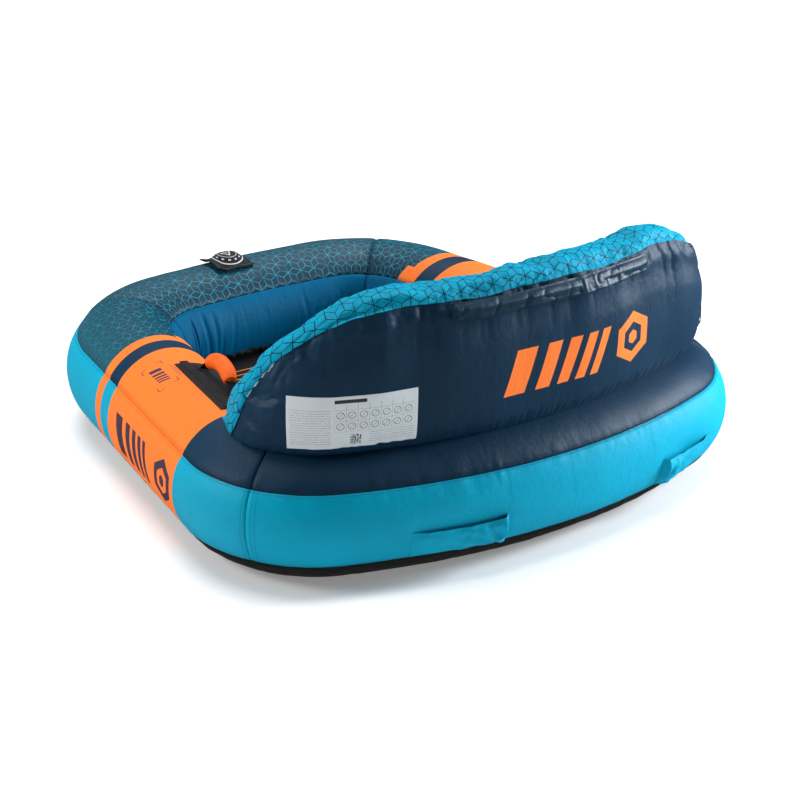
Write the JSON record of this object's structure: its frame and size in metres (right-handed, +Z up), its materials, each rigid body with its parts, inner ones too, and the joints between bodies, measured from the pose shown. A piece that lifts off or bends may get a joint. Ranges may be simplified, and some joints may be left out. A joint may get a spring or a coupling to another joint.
{
  "type": "towable tube",
  "caption": "Two-seat inflatable towable with a D-shaped ring, raised backrest, padded grab handles, valve covers and a front tow eye.",
  "frame": {"origin": "on the ground under the middle of the ring's length and width", "axes": "+X towards the riders' left, -Y towards the towed front end, +Z up"},
  "size_m": [1.5752, 1.6393, 0.697],
  "materials": {
    "pattern_cover": "printed satin nylon, dark navy with thin cyan line pattern",
    "navy_cover": "satin coated nylon",
    "cyan_cover": "satin coated nylon",
    "blue_cover": "satin coated nylon",
    "orange_cover": "printed satin nylon",
    "pattern_cyan_cover": "printed nylon, cyan with thin dark line pattern",
    "black_cover": "coated nylon",
    "bladder_vinyl": "smooth vinyl",
    "deck_neoprene": "neoprene with fine ribs",
    "black_webbing": "woven webbing",
    "black_plastic": "moulded nylon",
    "label_cloth": "printed woven label",
    "valve_vinyl": "moulded vinyl",
    "valve_plastic": "moulded plastic",
    "neoprene": "neoprene",
    "orange_grip": "foam under nylon",
    "tow_steel": "brushed stainless steel",
    "black_mesh": "open mesh"
  },
  "bodies": {
    "tube": {"backrest_back_panel": "navy_cover", "backrest_bladder": "bladder_vinyl", "backrest_front_panel": "pattern_cyan_cover", "backrest_ridge_panel": "pattern_cyan_cover", "backrest_valve_base": "valve_vinyl", "backrest_valve_insert": "valve_plastic", "bottom_cover": "black_cover", "centre_left_handle_feet": "black_webbing", "centre_right_handle_feet": "black_webbing", "floor_bladder": "bladder_vinyl", "floor_deck": "deck_neoprene", "front_inner_panel": "blue_cover", "front_outer_panel": "cyan_cover", "front_top_panel": "pattern_cover", "label_patch": "label_cloth", "left_handle_feet": "black_webbing", "left_inner_panel": "blue_cover", "left_knuckle_guard": "neoprene", "left_outer_panel": "cyan_cover", "left_top_panel": "orange_cover", "left_vent_flap": "cyan_cover", "left_vent_mesh": "black_mesh", "rear_inner_panel": "blue_cover", "rear_outer_panel": "cyan_cover", "rear_top_panel": "navy_cover", "right_handle_feet": "black_webbing", "right_inner_panel": "blue_cover", "right_knuckle_guard": "neoprene", "right_outer_panel": "cyan_cover", "right_top_panel": "orange_cover", "right_vent_flap": "cyan_cover", "right_vent_mesh": "black_mesh", "ring_bladder": "bladder_vinyl", "ring_valve_base": "valve_vinyl", "ring_valve_insert": "valve_plastic", "tow_harness": "black_webbing", "tow_patch": "black_cover", "tow_strap": "black_webbing", "zip_flap": "navy_cover", "zip_tape": "black_webbing", "zip_teeth": "black_plastic"},
    "ring_valve_cover": {"ring_valve_cover": "neoprene"},
    "ring_valve_cap": {"ring_valve_cap": "valve_plastic"},
    "backrest_valve_cover": {"backrest_valve_cover": "neoprene"},
    "backrest_valve_cap": {"backrest_valve_cap": "valve_plastic"},
    "zip_slider": {"zip_slider": "black_plastic"},
    "zip_pull": {"zip_pull": "black_plastic"},
    "left_handle": {"left_handle_strap": "black_webbing", "left_handle_grip": "orange_grip"},
    "right_handle": {"right_handle_strap": "black_webbing", "right_handle_grip": "orange_grip"},
    "centre_left_handle": {"centre_left_handle_strap": "black_webbing", "centre_left_handle_grip": "orange_grip"},
    "centre_right_handle": {"centre_right_handle_strap": "black_webbing", "centre_right_handle_grip": "orange_grip"},
    "tow_eye": {"tow_eye": "tow_steel"}
  },
  "joints": [
    {"name": "ring_valve_cover_hinge", "type": "hinge", "parent": "tube", "child": "ring_valve_cover", "pos_m": [0.04132, -0.71086, 0.30951], "axis": [0.9998, 0.0197, 0], "range_deg": [0, 100]},
    {"name": "backrest_valve_cover_hinge", "type": "hinge", "parent": "tube", "child": "backrest_valve_cover", "pos_m": [-0.64288, 0.52301, 0.44499], "axis": [-0.5592, -0.829, 0], "range_deg": [-100, 0]},
    {"name": "ring_valve_cap_turn", "type": "hinge", "parent": "tube", "child": "ring_valve_cap", "pos_m": [0.04019, -0.6536, 0.317], "axis": [0, 0, 1], "range_deg": [0, 90]},
    {"name": "backrest_valve_cap_turn", "type": "hinge", "parent": "tube", "child": "backrest_valve_cap", "pos_m": [-0.6407, 0.52154, 0.388], "axis": [-0.829, 0.5592, 0], "range_deg": [0, 90]},
    {"name": "zip_slide", "type": "hinge", "parent": "tube", "child": "zip_slider", "pos_m": [0, -0.708, 0.627], "axis": [0, 0, 1], "range_deg": [-20.5, 0]},
    {"name": "zip_pull_swing", "type": "hinge", "parent": "zip_slider", "child": "zip_pull", "pos_m": [-0.2879, 0.69452, 0.627], "axis": [-0.9796, -0.2011, 0], "range_deg": [-12, 0]},
    {"name": "left_handle_rock", "type": "hinge", "parent": "tube", "child": "left_handle", "pos_m": [0.52893, 0.09611, 0.32142], "axis": [0.1772, 0.9842, 0], "range_deg": [-15, 15], "stiffness_Nm_per_rad": 1},
    {"name": "right_handle_rock", "type": "hinge", "parent": "tube", "child": "right_handle", "pos_m": [-0.52893, 0.09611, 0.32142], "axis": [-0.1772, 0.9842, 0], "range_deg": [-15, 15], "stiffness_Nm_per_rad": 1},
    {"name": "centre_left_handle_rock", "type": "hinge", "parent": "tube", "child": "centre_left_handle", "pos_m": [0.07, -0.09, 0.101], "axis": [0, 1, 0], "range_deg": [-15, 15], "stiffness_Nm_per_rad": 1},
    {"name": "centre_right_handle_rock", "type": "hinge", "parent": "tube", "child": "centre_right_handle", "pos_m": [-0.07, -0.09, 0.101], "axis": [0, 1, 0], "range_deg": [-15, 15], "stiffness_Nm_per_rad": 1},
    {"name": "tow_eye_swing", "type": "hinge", "parent": "tube", "child": "tow_eye", "pos_m": [0, -0.80937, 0.0623], "axis": [-1, 0, 0], "range_deg": [-20, 110]}
  ]
}
